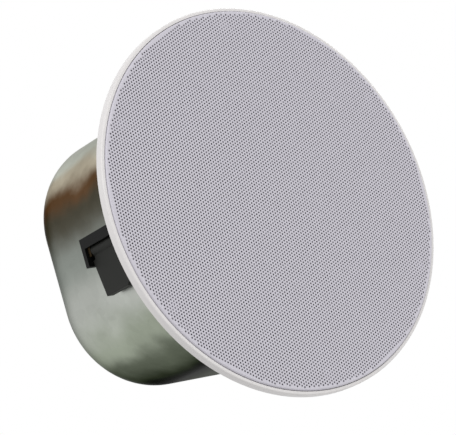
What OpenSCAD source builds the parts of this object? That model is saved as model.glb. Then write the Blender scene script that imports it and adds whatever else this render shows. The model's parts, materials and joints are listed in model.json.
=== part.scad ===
// Round ceiling loudspeaker with a drawn steel back can and four swing-out clamps
// +Z points up into the ceiling void, the grille faces down and its front lies at z = 0

/* [Bezel and baffle] */
// Width of the flange outside the tub
flange_w = 21; // [20:0.5:24]
// Height of the bezel's side wall
bezel_h = 6.6; // [6:0.1:9]
// Distance of the bezel's front ring behind the grille's face
bezel_setback = 1.4; // [0.8:0.1:2]
// Width of the bezel's front ring
bezel_ring_w = 2.6; // [2:0.1:4]
// Radius of the bezel's outer front edge
bezel_edge_r = 1.2; // [0.4:0.1:1.8]
// Thickness of the flange that meets the ceiling
flange_t = 2.8; // [2.4:0.1:3.4]
// Distance from the can's flat to the outside of the tub that passes through the ceiling
tub_room = 30; // [28:0.5:33]
// Wall of the tub
tub_wall = 3; // [2:0.5:4]
// Distance from the grille's face to the baffle plate
baffle_setback = 12; // [12:0.5:16]
// Thickness of the baffle plate
baffle_t = 3.5; // [3:0.5:6]
// Width of the foam gasket in the flange
gasket_w = 8; // [5:0.5:10]
// Depth of the gasket's groove
gasket_depth = 1; // [0.6:0.1:1.4]
// Thickness of the stiffening ribs behind the plate
rib_t = 2; // [1.5:0.5:4]
// Height of the stiffening ribs
rib_h = 2.5; // [1:0.5:3]

/* [Grille] */
// Gap around the grille
grille_gap = 0.5; // [0.3:0.1:1]
// Sheet thickness of the grille
grille_t = 1; // [0.8:0.1:1.2]
// Outer radius of the grille's rolled edge
grille_edge_r = 1.8; // [1.5:0.1:2.4]
// Pitch of the perforation, drawn coarser than the real sheet
perf_pitch = 12.5; // [10:0.5:25]
// Width across the flats of one opening
perf_w = 7.5; // [5:0.5:8]
// Plain margin inside the rolled edge
perf_margin = 3; // [2:0.5:6]
// Thickness of the backing cloth
scrim_t = 0.4; // [0.3:0.1:0.6]
// Number of grille magnets
magnet_count = 6; // [4:1:8]
// Diameter of a grille magnet
magnet_d = 8; // [6:0.5:9]
// Length of a grille magnet
magnet_l = 3; // [2.5:0.1:3.4]
// Wall of the boss around a grille magnet
magnet_boss_wall = 1.4; // [1.2:0.1:1.6]

/* [Back can] */
// Width of the can across its flats
can_w = 198; // [196:1:204]
// Width of the flat part of the can's sides
can_flat_w = 58; // [50:1:70]
// Radius of the can's back edge
can_edge_r = 40; // [20:1:50]
// Depth of the can from its mouth to its back
can_depth = 168; // [150:1:200]
// Sheet thickness of the can
can_t = 1; // [0.8:0.1:1.2]
// Height of the seal under the can's mouth
seal_t = 1.5; // [1:0.1:2]
// Height of the spigot that the can slides over
spigot_h = 10; // [9:0.5:14]
// Wall of the spigot
spigot_t = 2.8; // [2.4:0.1:3.2]
// Gap between the spigot and the can
spigot_gap = 0.3; // [0.1:0.1:0.4]
// Angle of the can's screws round its corners
can_screw_angle = 20; // [15:1:30]
// Height of the can's screws above its mouth
can_screw_h = 5; // [4:0.5:6]
// Thickness of the damping lining
lining_t = 10; // [5:1:12]
// Height of the damping lining
lining_h = 100; // [60:1:110]

/* [Clamps] */
// Distance of the clamp screw's axis from the can's flat
clamp_offset = 7; // [6.8:0.1:8]
// Width of the clamp's guide
guide_w = 22; // [20:0.5:26]
// Wall of the clamp's guide
guide_t = 1.6; // [1.4:0.1:1.8]
// Thickness of the guide's end cap
guide_cap_t = 4; // [3:0.5:6]
// Thickness of the guide's foot
guide_foot_t = 3; // [2.5:0.5:4]
// Half width of the guide's foot
guide_foot_w = 16; // [14:0.5:18]
// Length of the arm from the screw's axis to its tip
arm_l = 36; // [30:1:38]
// Height of the arm along the screw
arm_h = 36; // [30:1:38]
// Thickness of the arm's paddle
arm_t = 5.5; // [4:0.5:6]
// Drop of the paddle's upper edge towards its tip
arm_drop = 5; // [2:0.5:8]
// Outer radius of the arm's hub
hub_r = 4.8; // [4.2:0.1:4.9]
// Wall of the nut's neck, which the arm turns on
neck_wall = 0.8; // [0.6:0.05:0.9]
// Height of the nut's guided block
nut_block_h = 3; // [2:0.5:4]
// Diameter of the clamp screw
screw_d = 4; // [3.5:0.1:4.2]
// Length of the screw's tip beyond the end cap
screw_tip = 4; // [2:0.5:8]
// Radius of the clamp screw's head
screw_head_r = 4.4; // [4:0.1:5]
// Travel of the nut along the screw
clamp_travel = 37; // [20:1:50]
// Running clearance between sliding and turning pieces
run_gap = 0.2; // [0.15:0.05:0.3]

/* [Woofer] */
// Distance from the can's flat to the basket's flange
frame_inset = 4; // [3:0.5:5]
// Width of the basket's flange outside the woofer's opening
frame_lap = 8; // [7:0.5:9]
// Sheet thickness of the basket
basket_t = 1.2; // [1:0.1:1.6]
// Thickness of the cone
cone_t = 0.8; // [0.6:0.1:1]
// Depth of the cone
cone_h = 31; // [28:1:34]
// Radius of the cone's curved side
cone_curve_r = 90; // [70:5:140]
// Width of the surround's roll
roll_w = 12; // [10:0.5:12]
// Height of the surround's roll
roll_h = 4.5; // [3.5:0.1:4.8]
// Width of the surround's glue land
land_w = 6; // [5:0.5:6]
// Thickness of the surround
surround_t = 0.5; // [0.4:0.1:0.7]
// Thickness of the front gasket ring
front_gasket_t = 1.5; // [1:0.1:1.8]
// Number of woofer screws
woofer_screw_count = 8; // [4:4:8]
// Outer diameter of the voice coil's former
coil_d = 39; // [36:0.5:42]
// Wall of the former
former_t = 0.4; // [0.3:0.1:0.5]
// Radial thickness of the winding
winding_t = 0.7; // [0.5:0.1:0.9]
// Height of the winding
winding_h = 12; // [8:1:14]
// Gap on each side of the voice coil
coil_gap = 0.5; // [0.4:0.1:0.7]
// Outer diameter of the spider
spider_d = 100; // [92:1:104]
// Number of the spider's corrugations
spider_waves = 5; // [3:1:7]
// Thickness of the top plate
top_plate_t = 6; // [5:0.5:8]
// Outer diameter of the top plate and the yoke
yoke_d = 90; // [84:1:96]
// Outer diameter of the ring magnet
ring_magnet_d = 98; // [94:1:110]
// Height of the ring magnet
ring_magnet_h = 17; // [14:1:22]
// Thickness of the yoke's back plate
yoke_t = 6; // [5:0.5:8]
// Number of the basket's windows
window_count = 6; // [4:1:8]
// Angle that one window spans
window_angle = 40; // [30:1:42]

/* [Tweeter] */
// Outer diameter of the tweeter's housing
tweeter_d = 48; // [44:1:54]
// Depth of the tweeter's housing
tweeter_h = 13; // [12:0.5:16]
// Distance from the grille's face to the tweeter's faceplate
tweeter_setback = 5; // [4:0.5:6]
// Thickness of the tweeter's faceplate
faceplate_t = 2; // [1.6:0.1:3]
// Diameter of the tweeter's dome
dome_d = 25; // [20:1:26]
// Rise of the dome
dome_h = 3; // [2:0.5:3.5]
// Diameter of the tweeter's post
post_d = 9; // [7:0.5:10]

/* [Selector and electrics] */
// Gap between the selector's knob and the basket's flange
knob_gap = 0.8; // [0.6:0.1:1]
// Diameter of the selector's switch body
switch_d = 11; // [10:0.5:11.5]
// Diameter of the selector's shaft
shaft_d = 6; // [4:0.5:6]
// Diameter of the selector's knob
knob_d = 8.4; // [7:0.1:8.8]
// Width of the crossover board
board_w = 54; // [46:1:54]
// Length of the crossover board
board_l = 100; // [80:1:104]
// Height of the board's standoffs
standoff_h = 6; // [4:0.5:10]
// Width of the transformer's core
core_w = 44; // [36:1:44]
// Length of the transformer's core
core_l = 50; // [42:1:50]
// Stack height of the transformer's core
core_h = 24; // [16:1:30]

/* [Cable entry] */
// Width of the terminal cover
cover_w = 88; // [80:1:90]
// Length of the terminal cover
cover_l = 72; // [70:1:74]
// Height of the terminal cover
cover_h = 24; // [22:1:24]
// Sheet thickness of the terminal cover
cover_t = 1.2; // [0.8:0.1:1.6]
// Bore of the cable grommets
grommet_bore = 11; // [6:0.5:12]
// Hole of the safety lug
lug_hole_d = 10; // [6:0.5:12]

/* [Hidden] */
$fn = 96;
eps = 0.01;

// Heights of the main planes
ceiling_z = bezel_setback + bezel_h;
ledge_z = ceiling_z - flange_t;
plate_z = baffle_setback;
plate_back_z = plate_z + baffle_t;
mouth_z = plate_back_z + seal_t;
can_back_z = mouth_z + can_depth;
can_floor_z = can_back_z - can_t;

// Radii of the bezel, the tub and the grille
tub_r = can_w / 2 + tub_room;
bezel_r = tub_r + flange_w;
grille_r = bezel_r - bezel_ring_w - grille_gap;
perf_r = grille_r - perf_margin;
gasket_r = (tub_r + bezel_r) / 2 - gasket_w / 2 - 1;
magnet_r = tub_r + magnet_boss_r();
function magnet_boss_r() = magnet_d / 2 + magnet_boss_wall + 1.6;
magnet_pocket_gap = 0.1;
scrim_r = perf_r;

// Can
can_corner_r = (can_w - can_flat_w) / 2;
corner_at = can_flat_w / 2;

// Clamp
clamp_r = can_w / 2 + clamp_offset;
seat_gap = 0.5;
arm_z = plate_back_z + guide_foot_t + seat_gap + clamp_travel;
paddle_top_z = arm_z + arm_h;
cap_z = paddle_top_z + 2 * seat_gap;
guide_top_z = cap_z + guide_cap_t;
guide_h = guide_top_z - plate_back_z;
guide_gap = 0.3;
lip_w = 1.7;
guide_depth = clamp_offset + hub_r + lip_w;
nut_top_z = cap_z - 0.7;
nut_block_z = nut_top_z - nut_block_h;
screw_r = screw_d / 2;
nut_bore_r = screw_r + run_gap - 0.05;
neck_r = nut_bore_r + neck_wall;
arm_bore_r = neck_r + run_gap;
arm_top_z = nut_block_z - 0.4;
screw_head_h = 3.2;
guide_screw_x = guide_depth / 2 + 1.1;
guide_screw_y = guide_foot_w - 4.5;

// Woofer
frame_r = can_w / 2 - frame_inset;
woofer_hole_r = frame_r - frame_lap;
land_gap = 1;
frame_z = plate_z - basket_t;
land_z = frame_z - surround_t;
cone_r = woofer_hole_r - land_gap - land_w - roll_w;
land_r = cone_r + roll_w;
basket_r = land_r + land_w;
woofer_screw_r = (basket_r + frame_r) / 2 + 0.3;
coil_r = coil_d / 2;
cone_back_z = land_z + cone_h;
roll_r = (pow(roll_w / 2, 2) + pow(roll_h, 2)) / (2 * roll_h);
roll_z = land_z + surround_t - roll_h + roll_r;
spider_z = cone_back_z + 7;
spider_r = spider_d / 2;
spider_ledge_w = 4;
spider_t = 0.6;
wave_h = 1.2;
winding_r = coil_r + winding_t;
top_plate_z = spider_z + 8;
ring_magnet_z = top_plate_z + top_plate_t;
yoke_z = ring_magnet_z + ring_magnet_h;
winding_z = top_plate_z + (top_plate_t - winding_h) / 2;
pole_r = coil_r - former_t - coil_gap;
basket_back_r = spider_r - 5;

// Tweeter
tweeter_r = tweeter_d / 2;
post_r = post_d / 2;
housing_z = tweeter_setback + faceplate_t;
housing_back_z = housing_z + tweeter_h;

// Selector
selector_r = frame_r + knob_gap + knob_d / 2;
switch_h = 12;
switch_pin_l = 4;

// Fasteners
small_screw_r = 1.7;
small_head_r = 3.2;
small_head_h = 2;
shank_gap = 0.05;
hole_gap = 0.2;
cut = 1;

// Places on the can's back
transformer_pos = [-35, -20];
board_pos = [17, 0];
feed_pos = [-30, 24];
entry_x = -20;
lug_x = cover_w / 2 + 1;
bracket_t = 1.5;
bracket_foot = 9.2;
strap_w = 6;
strap_t = 1.2;
strap_gap = 0.2;
rivet_r = 1.6;
rivet_gap = 0.1;
lug_w = 22;
lug_t = 3;
lug_foot = 13;
lug_hole_z = 12;
lug_rivets = [for (y = [-6, 6]) [lug_x + 8, y]];
bracket_rivets = [for (y = [-1, 1]) transformer_pos + [0, y * (core_l / 2 + 5)]];
ear_w = 16;
ear_l = 10.5;
cover_screw_y = cover_l / 2 + 5.5;
grommet_wall = 1.5;
grommet_lip = 3.5;

// Crossover
board_t = 1.6;
board_margin = 4;
board_z = can_floor_z - standoff_h - board_t;
standoff_r = 3;
pin_r = 1.5;
pin_l = 2;
inductor_at = [[-8, -32], [10, 34.5]];
inductor_r = 15;
inductor_h = 16;
inductor_bore_r = 5;
bobbin_t = 2;
capacitor_r = 5.5;
capacitor_l = 30;
resistor_at = [-24, 24];
resistor_size = [16, 20, 9];

// Transformer
core_z = can_floor_z - 7 - core_h;
core_leg = 8;
window_w = 11;
window_at = core_l / 4 + 1;
winding_gap = 0.5;
winding_wall = 5;

// Terminals
block_at = [-12, 0];
block_size = [42, 16, 14];
block_pitch = 10;
wire_hole_r = 2;
saddle_size = [28, 8, 9];
saddle_screw_x = 10;
saddle_screw_r = 1.5;
saddle_y = -20;
part_gap = 0.02;

// Flat ring, used in sections that are turned about Z
module ring_section(inner, outer, z, h) {
  translate([inner, z]) square([outer - inner, h]);
}

// Turned ring
module ring(inner, outer, z, h) {
  translate([0, 0, z]) difference() {
    cylinder(r = outer, h = h);
    translate([0, 0, -1]) cylinder(r = inner, h = h + 2);
  }
}

// Disc or straight pin
module disc(r, z, h) {
  translate([0, 0, z]) cylinder(r = r, h = h);
}

// Rounded square, width across its flats
module rounded_square(w, r) {
  square([w, w - 2 * r], center = true);
  square([w - 2 * r, w], center = true);
  for (x = [-1, 1], y = [-1, 1]) translate([x, y] * (w / 2 - r)) circle(r);
}

// Frame of a rounded square that lies a step inside the can's outside
module can_frame(inset, wall, z, h) {
  translate([0, 0, z]) linear_extrude(h) difference() {
    rounded_square(can_w - 2 * inset, can_corner_r - inset);
    rounded_square(can_w - 2 * inset - 2 * wall, can_corner_r - inset - wall);
  }
}

// Places its children on each of the can's four flats, with +X pointing out of the flat
module on_flats() {
  for (k = [0:3]) rotate(90 * k) children();
}

// Places its children on the can's skin at each of its screws, with +X pointing out
module at_can_screws() {
  on_flats() for (side = [-1, 1])
    translate([corner_at, side * corner_at, mouth_z + can_screw_h])
      rotate(side * can_screw_angle) translate([can_corner_r, 0, 0]) children();
}

// Places its children at the clamp screw's axis of one flat
module at_clamp(k) {
  rotate(90 * (k - 1)) translate([clamp_r, 0, 0]) children();
}

// Pan-head screw that points along +Z, with its head's seat at z = 0
module pan_screw(shank_r, shank_l, head_r, head_h) {
  difference() {
    union() {
      translate([0, 0, -eps]) cylinder(r = shank_r, h = shank_l + eps);
      translate([0, 0, -head_h]) cylinder(r = head_r, h = head_h);
    }
    for (a = [0, 90]) rotate(a)
      translate([-head_r * 0.6, -head_r * 0.12, -head_h - 1])
        cube([head_r * 1.2, head_r * 0.24, head_h * 0.6 + 1]);
  }
}

// Bezel, flange, tub and plate in section
module baffle_section() {
  inner = tub_r - tub_wall;
  lip = bezel_r - bezel_ring_w;
  ring_section(inner, bezel_r, ledge_z, flange_t);
  ring_section(lip, bezel_r - bezel_edge_r, bezel_setback, bezel_h);
  ring_section(lip, bezel_r, bezel_setback + bezel_edge_r, bezel_h - bezel_edge_r);
  translate([bezel_r - bezel_edge_r, bezel_setback + bezel_edge_r]) circle(bezel_edge_r);
  ring_section(inner, tub_r, ledge_z, plate_back_z - ledge_z);
  ring_section(woofer_hole_r, tub_r, plate_z, baffle_t);
}

// Hole through the baffle plate
module plate_hole(r) {
  disc(r, plate_z - cut, baffle_t + 2 * cut);
}

// Places its children at each grille magnet
module at_magnets() {
  for (k = [0:magnet_count - 1]) rotate((k + 0.5) * 360 / magnet_count)
    translate([magnet_r, 0, 0]) children();
}

// Places its children at each woofer screw
module at_woofer_screws() {
  for (k = [0:woofer_screw_count - 1]) rotate((k + 0.5) * 360 / woofer_screw_count)
    translate([woofer_screw_r, 0, 0]) children();
}

module baffle() {
  rib_start = can_w / 2 / cos(22.5) + 2;
  color("whitesmoke") difference() {
    union() {
      rotate_extrude() baffle_section();
      can_frame(can_t + spigot_gap, spigot_t, plate_back_z - cut, spigot_h + seal_t + cut);
      at_magnets() disc(magnet_d / 2 + magnet_boss_wall, grille_t + 0.9, ledge_z - grille_t);
      for (k = [0:7]) rotate(22.5 + 45 * k) translate([rib_start, -rib_t / 2, plate_back_z - cut])
        cube([tub_r - rib_start - 1, rib_t, rib_h + cut]);
    }
    ring(gasket_r, gasket_r + gasket_w, ceiling_z - gasket_depth, gasket_depth + cut);
    at_magnets() disc(magnet_d / 2 + magnet_pocket_gap, 0, grille_t + magnet_l);
    on_flats() {
      translate([clamp_r, 0, 0]) plate_hole(screw_r + run_gap);
      for (y = [-1, 1]) translate([clamp_r + guide_screw_x, y * guide_screw_y, 0])
        plate_hole(small_screw_r + hole_gap);
    }
    at_can_screws() rotate([0, -90, 0]) cylinder(r = small_screw_r, h = can_t + spigot_gap + spigot_t + cut);
    at_woofer_screws() plate_hole(small_screw_r);
    rotate(45) translate([selector_r, 0, 0]) plate_hole(shaft_d / 2 + run_gap);
  }
}

module flange_gasket() {
  color("dimgray") ring(gasket_r + 0.1, gasket_r + gasket_w - 0.1, ceiling_z - gasket_depth, gasket_depth);
}

module can_seal() {
  color("dimgray") can_frame(0.2, can_t + spigot_gap - 0.3, plate_back_z, seal_t);
}

// Quarter section of a solid can, from its axis outwards
module can_quarter(r, h, edge) {
  square([r - edge, h]);
  square([r, h - edge]);
  translate([r - edge, h - edge]) intersection() {
    circle(edge);
    square(edge);
  }
}

// Wall of the can in section: side, back edge and back
module can_wall(inset, wall) {
  r = can_corner_r - inset;
  h = can_depth - inset;
  edge = can_edge_r - inset;
  difference() {
    can_quarter(r, h, edge);
    translate([-eps, -eps]) can_quarter(r - wall + eps, h - wall + eps, edge - wall);
  }
}

// Hole through the can's back
module back_hole(at, r) {
  translate([at[0], at[1], can_floor_z - cut]) cylinder(r = r, h = can_t + 2 * cut);
}

module back_can() {
  color("silver") difference() {
    translate([0, 0, mouth_z]) union() {
      on_flats() translate([corner_at, corner_at, 0]) {
        rotate_extrude(angle = 90) can_wall(0, can_t);
        rotate([90, 0, 0]) linear_extrude(can_flat_w) can_wall(0, can_t);
      }
      translate([-corner_at, -corner_at, can_depth - can_t]) cube([can_flat_w, can_flat_w, can_t]);
    }
    at_can_screws() translate([cut, 0, 0]) rotate([0, -90, 0])
      cylinder(r = small_screw_r + hole_gap, h = can_t + 2 * cut);
    back_hole(feed_pos, grommet_bore / 2 + grommet_wall);
    for (p = concat(lug_rivets, bracket_rivets)) back_hole(p, rivet_r + rivet_gap);
    for (y = [-1, 1]) back_hole([0, y * cover_screw_y], small_screw_r);
  }
}

module can_screws() {
  color("silver") at_can_screws() rotate([0, -90, 0])
    pan_screw(small_screw_r - shank_gap, can_t + spigot_gap + spigot_t, small_head_r, small_head_h);
}

module damping_lining() {
  color("khaki") can_frame(can_t + 0.3, lining_t, can_back_z - can_edge_r - lining_h, lining_h);
}

// Grille pan in section, face down
module grille_section() {
  difference() {
    union() {
      ring_section(0, grille_r - grille_edge_r, 0, ledge_z);
      ring_section(0, grille_r, grille_edge_r, ledge_z - grille_edge_r);
      translate([grille_r - grille_edge_r, grille_edge_r]) circle(grille_edge_r);
    }
    inner_r = grille_edge_r - grille_t;
    ring_section(-1, grille_r - grille_t - inner_r, grille_t, ledge_z);
    ring_section(-1, grille_r - grille_t, grille_t + inner_r, ledge_z);
    translate([grille_r - grille_edge_r, grille_edge_r]) circle(inner_r);
    translate([-bezel_r, -1]) square([bezel_r, 20]);
  }
}

// Openings of the grille, in rows staggered by 60 degrees
module perforation() {
  rows = floor(perf_r / (perf_pitch * sin(60)));
  for (j = [-rows:rows]) {
    y = j * perf_pitch * sin(60);
    shift = abs(j) % 2 * perf_pitch / 2;
    columns = ceil(perf_r / perf_pitch) + 1;
    for (i = [-columns:columns]) {
      x = i * perf_pitch + shift;
      if (norm([x, y]) < perf_r - perf_w / sqrt(3))
        translate([x, y]) circle(perf_w / sqrt(3), $fn = 6);
    }
  }
}

module grille() {
  color("lightgray") difference() {
    rotate_extrude() grille_section();
    rotate(34) translate([0, 0, -1]) linear_extrude(grille_t + 2) perforation();
  }
}

module grille_scrim() {
  color("black") difference() {
    disc(scrim_r, grille_t, scrim_t);
    at_magnets() disc(magnet_d / 2 + magnet_boss_wall + 0.6, 0, 3);
  }
}

module grille_magnets() {
  color("gray") at_magnets() disc(magnet_d / 2, grille_t, magnet_l);
}

// Basket in section: front flange, side, spider ledge and back ring
module basket_section() {
  side_r = woofer_hole_r - 0.6;
  neck_z = plate_z + 8;
  ring_section(land_r, frame_r, frame_z, basket_t);
  polygon([
    [side_r - basket_t, frame_z], [side_r, frame_z], [side_r, neck_z],
    [spider_r + basket_t, spider_z - 1], [spider_r + basket_t, spider_z + basket_t],
    [spider_r - spider_ledge_w, spider_z + basket_t], [basket_back_r, top_plate_z],
    [coil_r + 12, top_plate_z], [coil_r + 12, top_plate_z - basket_t],
    [basket_back_r - basket_t, top_plate_z - basket_t], [spider_r - spider_ledge_w - basket_t, spider_z],
    [spider_r, spider_z], [spider_r, spider_z - 1], [side_r - basket_t, neck_z]
  ]);
}

module basket() {
  color("dimgray") difference() {
    rotate_extrude() basket_section();
    for (k = [0:window_count - 1]) rotate(k * 360 / window_count)
      rotate_extrude(angle = window_angle)
        ring_section(spider_r + 3, woofer_hole_r, plate_z + 10, spider_z - plate_z - 14);
    at_woofer_screws() disc(small_screw_r + hole_gap, frame_z - cut, basket_t + 2 * cut);
  }
}

module front_gasket() {
  color("black") ring(land_r, basket_r, land_z - front_gasket_t, front_gasket_t);
}

module driver_screws() {
  color("silver") at_woofer_screws() translate([0, 0, frame_z])
    pan_screw(small_screw_r - shank_gap, basket_t + baffle_t, small_head_r, small_head_h);
}

// Centre of the arc with the given radius through two points, to the left of the way from a to b
function arc_centre(a, b, r) =
  let (d = b - a, half = norm(d) / 2, n = [-d[1], d[0]] / norm(d))
    (a + b) / 2 + n * sqrt(r * r - half * half);

// Cone in section, a curved flare from the former to the surround
module cone_section() {
  front = [cone_r, land_z + 0.6];
  back = [coil_r, cone_back_z];
  centre = arc_centre(back, front, cone_curve_r);
  intersection() {
    translate(centre) difference() {
      circle(cone_curve_r, $fn = 360);
      circle(cone_curve_r - cone_t, $fn = 360);
    }
    translate([coil_r, front[1]]) square([cone_r - coil_r, cone_back_z - front[1] + 1]);
  }
}

module cone() {
  color("black") rotate_extrude() cone_section();
}

// Surround in section: inner land, half roll and glue land
module surround_section() {
  mid = cone_r + roll_w / 2;
  ring_section(cone_r - 2, cone_r + eps, land_z, surround_t);
  ring_section(land_r - eps, basket_r, land_z, surround_t);
  intersection() {
    translate([mid, roll_z]) difference() {
      circle(roll_r);
      circle(roll_r - surround_t);
    }
    ring_section(cone_r, land_r, land_z - roll_h, roll_h + surround_t);
  }
}

module surround() {
  color("darkslategray") rotate_extrude() surround_section();
}

// Spider in section, a corrugated strip
module spider_section() {
  inner = coil_r;
  outer = spider_r - spider_ledge_w;
  steps = spider_waves * 6;
  function wave(i) = wave_h * sin(360 * spider_waves * i / steps);
  top = [for (i = [0:steps]) [inner + (outer - inner) * i / steps, spider_z + wave(i)]];
  low = [for (i = [steps:-1:0]) [inner + (outer - inner) * i / steps, spider_z + wave(i) - spider_t]];
  polygon(concat(top, [[spider_r - 0.3, spider_z], [spider_r - 0.3, spider_z - spider_t]], low));
}

module spider() {
  color("goldenrod") rotate_extrude() spider_section();
}

module voice_coil_former() {
  color("tan") ring(coil_r - former_t, coil_r, cone_back_z - 3, winding_z + winding_h - cone_back_z + 3);
}

module voice_coil_winding() {
  color("peru") ring(coil_r, winding_r, winding_z, winding_h);
}

module top_plate() {
  color("silver") ring(winding_r + coil_gap, yoke_d / 2, top_plate_z, top_plate_t);
}

module magnet() {
  color("darkgray") ring(winding_r + coil_gap + 6, ring_magnet_d / 2, ring_magnet_z, ring_magnet_h);
}

module yoke() {
  color("silver") rotate_extrude() {
    ring_section(post_r + run_gap, pole_r, top_plate_z, yoke_z + yoke_t - top_plate_z);
    ring_section(post_r + run_gap, yoke_d / 2, yoke_z, yoke_t);
  }
}

module tweeter_post() {
  color("silver") union() {
    disc(post_r, housing_back_z, yoke_z + yoke_t - housing_back_z + 2);
    translate([0, 0, yoke_z + yoke_t]) cylinder(r = post_r * 1.9, h = 4, $fn = 6);
  }
}

module tweeter_housing() {
  color("black") difference() {
    union() {
      disc(tweeter_r, housing_z, tweeter_h - 3);
      translate([0, 0, housing_back_z - 3]) cylinder(r1 = tweeter_r, r2 = tweeter_r - 6, h = 3);
    }
    disc(tweeter_r - 6, housing_z - 1, tweeter_h - 1);
  }
}

module tweeter_cup() {
  color("silver") difference() {
    disc(dome_d / 2 + 3.5, housing_z + 2, tweeter_h - 4);
    disc(dome_d / 2 + 0.8, housing_z + 1, tweeter_h - 5);
  }
}

module tweeter_magnet() {
  color("gray") disc(dome_d / 2 - 0.8, housing_z + 3, tweeter_h - 7);
}

// Dome in section with its mounting ring
module dome_section() {
  r = dome_d / 2;
  sphere_r = (r * r + dome_h * dome_h) / (2 * dome_h);
  intersection() {
    translate([0, housing_z - dome_h + sphere_r]) difference() {
      circle(sphere_r, $fn = 180);
      circle(sphere_r - 0.3, $fn = 180);
    }
    translate([0, housing_z - dome_h]) square([r, dome_h]);
  }
  ring_section(r - 0.5, tweeter_r - 7, housing_z, 0.5);
}

module tweeter_dome() {
  color("dimgray") rotate_extrude() dome_section();
}

module tweeter_faceplate() {
  color("black") rotate_extrude() {
    inner = dome_d / 2 + 1.2;
    polygon([
      [inner, housing_z], [tweeter_r + 1, housing_z], [tweeter_r + 1, tweeter_setback + 0.6],
      [tweeter_r, tweeter_setback], [inner + 4, tweeter_setback]
    ]);
  }
}

// Places its children at the board's four fixing holes
module at_board_corners() {
  for (x = [-1, 1], y = [-1, 1]) translate([board_pos[0] + x * (board_w / 2 - board_margin),
    board_pos[1] + y * (board_l / 2 - board_margin), board_z]) children();
}

module crossover_board() {
  color("darkgreen") difference() {
    translate([board_pos[0] - board_w / 2, board_pos[1] - board_l / 2, board_z])
      cube([board_w, board_l, board_t]);
    at_board_corners() disc(pin_r + 0.1, -cut, board_t + 2 * cut);
  }
}

module board_standoffs() {
  color("ivory") at_board_corners() {
    disc(standoff_r, board_t, standoff_h);
    disc(pin_r, -pin_l, pin_l + board_t + eps);
  }
}

// Air-core coils wound on bobbins
module inductors() {
  color("orangered") for (p = inductor_at)
    translate([board_pos[0] + p[0], board_pos[1] + p[1], board_z - inductor_h]) difference() {
      union() {
        disc(inductor_r, 0, bobbin_t);
        disc(inductor_r - bobbin_t, bobbin_t - eps, inductor_h - 2 * bobbin_t + 2 * eps);
        disc(inductor_r, inductor_h - bobbin_t, bobbin_t);
      }
      disc(inductor_bore_r, -cut, inductor_h + 2 * cut);
    }
}

module capacitors() {
  color("gold") for (k = [-1:1]) translate([board_pos[0] - capacitor_l / 2 - 1,
    board_pos[1] + 1 + k * (2 * capacitor_r + 1), board_z - capacitor_r])
      rotate([0, 90, 0]) cylinder(r = capacitor_r, h = capacitor_l);
}

module resistor() {
  color("white") translate([board_pos[0] + resistor_at[0], board_pos[1] + resistor_at[1],
    board_z - resistor_size[2]]) cube(resistor_size);
}

// Laminated core with two windows for the winding
module transformer_core() {
  color("dimgray") translate([transformer_pos[0], transformer_pos[1], core_z]) difference() {
    translate([-core_w / 2, -core_l / 2, 0]) cube([core_w, core_l, core_h]);
    for (y = [-1, 1]) translate([-core_w / 2 + core_leg, y * window_at - window_w / 2, -cut])
      cube([core_w - 2 * core_leg, window_w, core_h + 2 * cut]);
  }
}

// Coil round the core's middle leg, through both windows
module transformer_winding() {
  color("peru") translate([transformer_pos[0], transformer_pos[1], core_z + core_h / 2]) difference() {
    cube([core_w - 2 * core_leg - 2 * winding_gap, 2 * (window_at + window_w / 2 - winding_gap),
      core_h + 2 * winding_wall], center = true);
    cube([core_w, 2 * (window_at - window_w / 2) + 0.4, core_h + 0.4], center = true);
  }
}

// Two straps round the core and a foot on each side, trimmed to the flat of the can's back
module transformer_bracket() {
  strap_x = core_w / 2 - strap_w / 2 - 1;
  foot_y = core_l / 2 + strap_t;
  foot_z = can_floor_z - bracket_t;
  strap_z = core_z - strap_t - strap_gap;
  color("silver") difference() {
    intersection() {
      translate([transformer_pos[0], transformer_pos[1], 0]) {
        for (y = [-1, 1]) {
          translate([-core_w / 2, y > 0 ? core_l / 2 : -core_l / 2 - bracket_foot, foot_z])
            cube([core_w, bracket_foot, bracket_t]);
          for (x = [-1, 1])
            translate([x * strap_x - strap_w / 2, y > 0 ? core_l / 2 + strap_gap : -foot_y - strap_gap,
              strap_z])
              cube([strap_w, strap_t, can_floor_z - strap_z]);
        }
        for (x = [-1, 1]) translate([x * strap_x - strap_w / 2, -foot_y - strap_gap, strap_z])
          cube([strap_w, 2 * (foot_y + strap_gap), strap_t]);
      }
      translate([0, 0, strap_z - cut]) linear_extrude(can_depth)
        rounded_square(can_w - 2 * can_edge_r, can_corner_r - can_edge_r);
    }
    for (p = bracket_rivets) translate([p[0], p[1], foot_z - cut])
      cylinder(r = rivet_r + rivet_gap, h = bracket_t + 2 * cut);
  }
}

module selector_switch() {
  color("dimgray") rotate(45) translate([selector_r, 0, 0]) difference() {
    union() {
      disc(switch_d / 2, plate_back_z, switch_h);
      for (k = [0:5]) rotate(60 * k) translate([switch_d / 2 - 1.6, -0.4, plate_back_z + switch_h - eps])
        cube([0.8, 0.8, switch_pin_l]);
    }
    disc(shaft_d / 2 + run_gap, plate_back_z - cut, 8 + cut);
  }
}

module selector_knob() {
  color("gray") rotate(45) translate([selector_r, 0, 0]) difference() {
    union() {
      disc(knob_d / 2, plate_z - 5, 4.7);
      disc(shaft_d / 2, plate_z - 1, baffle_t + 8);
    }
    translate([-knob_d / 2 - 1, -0.6, plate_z - 6]) cube([knob_d + 2, 1.2, 2.6]);
  }
}

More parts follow.
